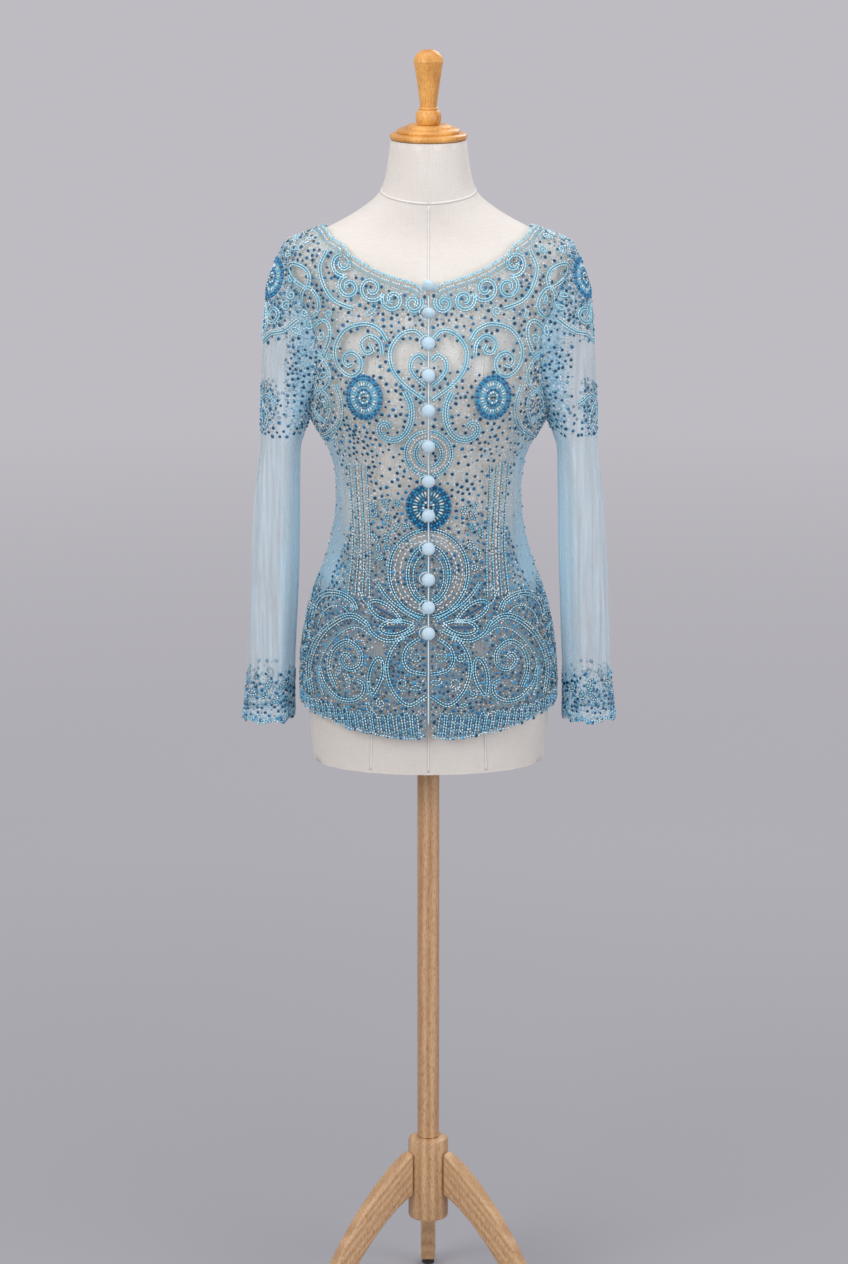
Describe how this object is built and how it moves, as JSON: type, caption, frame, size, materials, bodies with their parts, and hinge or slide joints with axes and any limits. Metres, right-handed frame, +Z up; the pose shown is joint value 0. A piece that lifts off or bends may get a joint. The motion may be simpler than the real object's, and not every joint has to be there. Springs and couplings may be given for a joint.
{
  "type": "kebaya blouse on dress form",
  "caption": "Sheer beaded long-sleeved blouse with a scoop neck and buttoned front, worn on a limbless dress form with a turned wooden neck cap on a wooden tripod stand.",
  "frame": {"origin": "on the floor, under the middle of the whole bounding box", "axes": "+Z up along the stand's pole, the wearer's front towards -Y, the wearer's left towards +X"},
  "size_m": [0.4837, 0.3215, 1.6891],
  "materials": {
    "beaded_net": "sheer pale blue tulle with cord and bead embroidery",
    "button_cloth": "pale blue cloth stretched over a dome",
    "linen": "matt natural linen",
    "honey_wood": "turned, satin varnish",
    "beech": "sanded, matt varnish",
    "rubber": "matt black"
  },
  "bodies": {
    "root": {"front_left": "beaded_net", "front_right": "beaded_net", "back": "beaded_net", "sleeve_left": "beaded_net", "sleeve_right": "beaded_net", "front_binding": "beaded_net", "button_01": "button_cloth", "button_02": "button_cloth", "button_03": "button_cloth", "button_04": "button_cloth", "button_05": "button_cloth", "button_06": "button_cloth", "button_07": "button_cloth", "button_08": "button_cloth", "button_09": "button_cloth", "button_10": "button_cloth", "button_11": "button_cloth", "button_12": "button_cloth", "form_torso": "linen", "neck_cap": "honey_wood", "neck_finial": "honey_wood", "stand_pole": "beech", "stand_hub": "beech", "stand_leg_back": "beech", "stand_leg_left": "beech", "stand_leg_right": "beech", "stand_foot_back": "rubber", "stand_foot_left": "rubber", "stand_foot_right": "rubber"}
  },
  "joints": []
}
